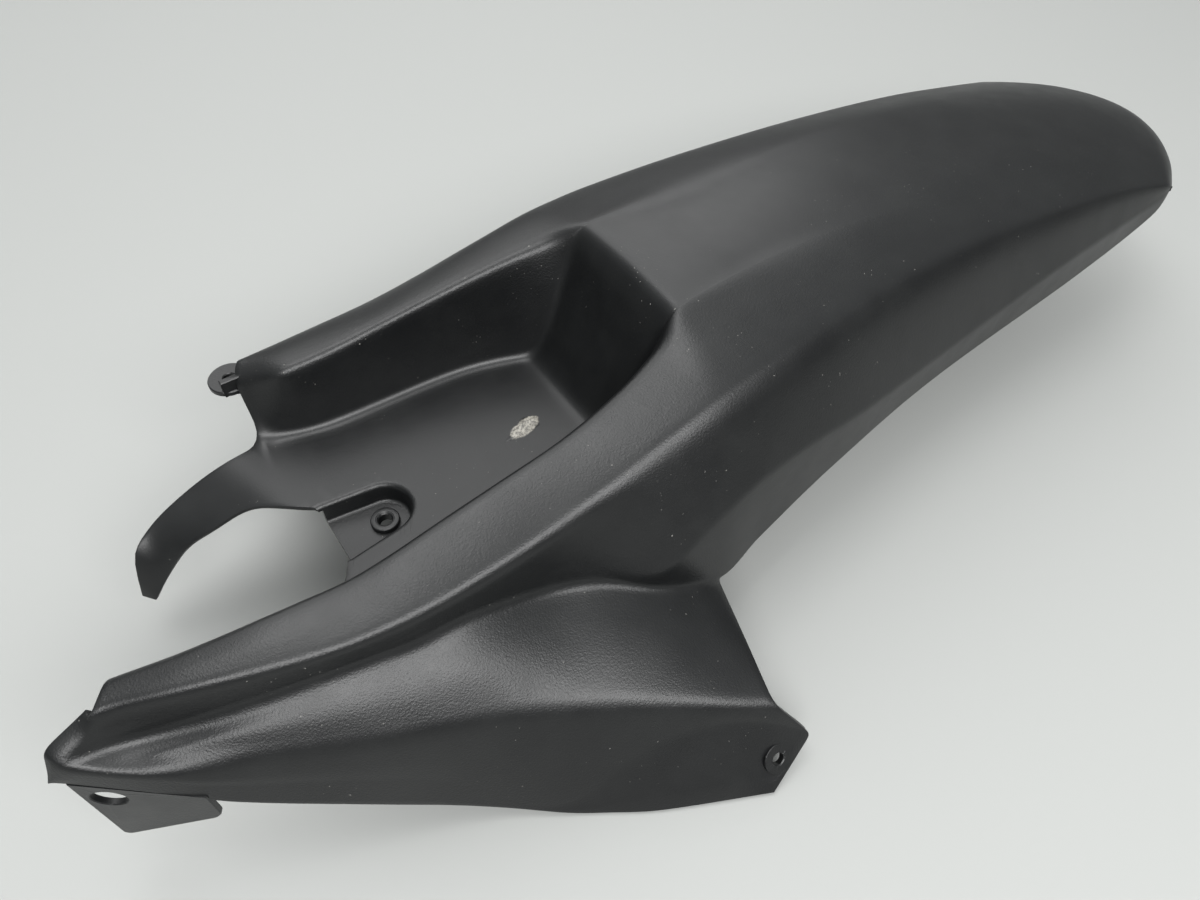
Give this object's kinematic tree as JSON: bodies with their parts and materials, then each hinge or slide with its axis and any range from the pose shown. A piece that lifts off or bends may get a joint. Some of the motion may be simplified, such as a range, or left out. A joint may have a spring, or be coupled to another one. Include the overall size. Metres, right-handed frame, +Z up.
{
  "type": "rear hugger mudguard",
  "caption": "One-piece satin-black moulded rear mudguard of a motorcycle, with a long tail, a pocket for the shock absorber, a curved tongue and a flared side skirt.",
  "frame": {"origin": "centre of the floor screw hole, at the top of its boss", "axes": "+X to the rear along the wheel, +Y to the right-hand side, +Z up"},
  "size_m": [0.7206, 0.3245, 0.1548],
  "materials": {
    "black_plastic": "satin black moulded plastic with a fine grain"
  },
  "bodies": {
    "root": {"mudguard": "black_plastic"}
  },
  "joints": []
}
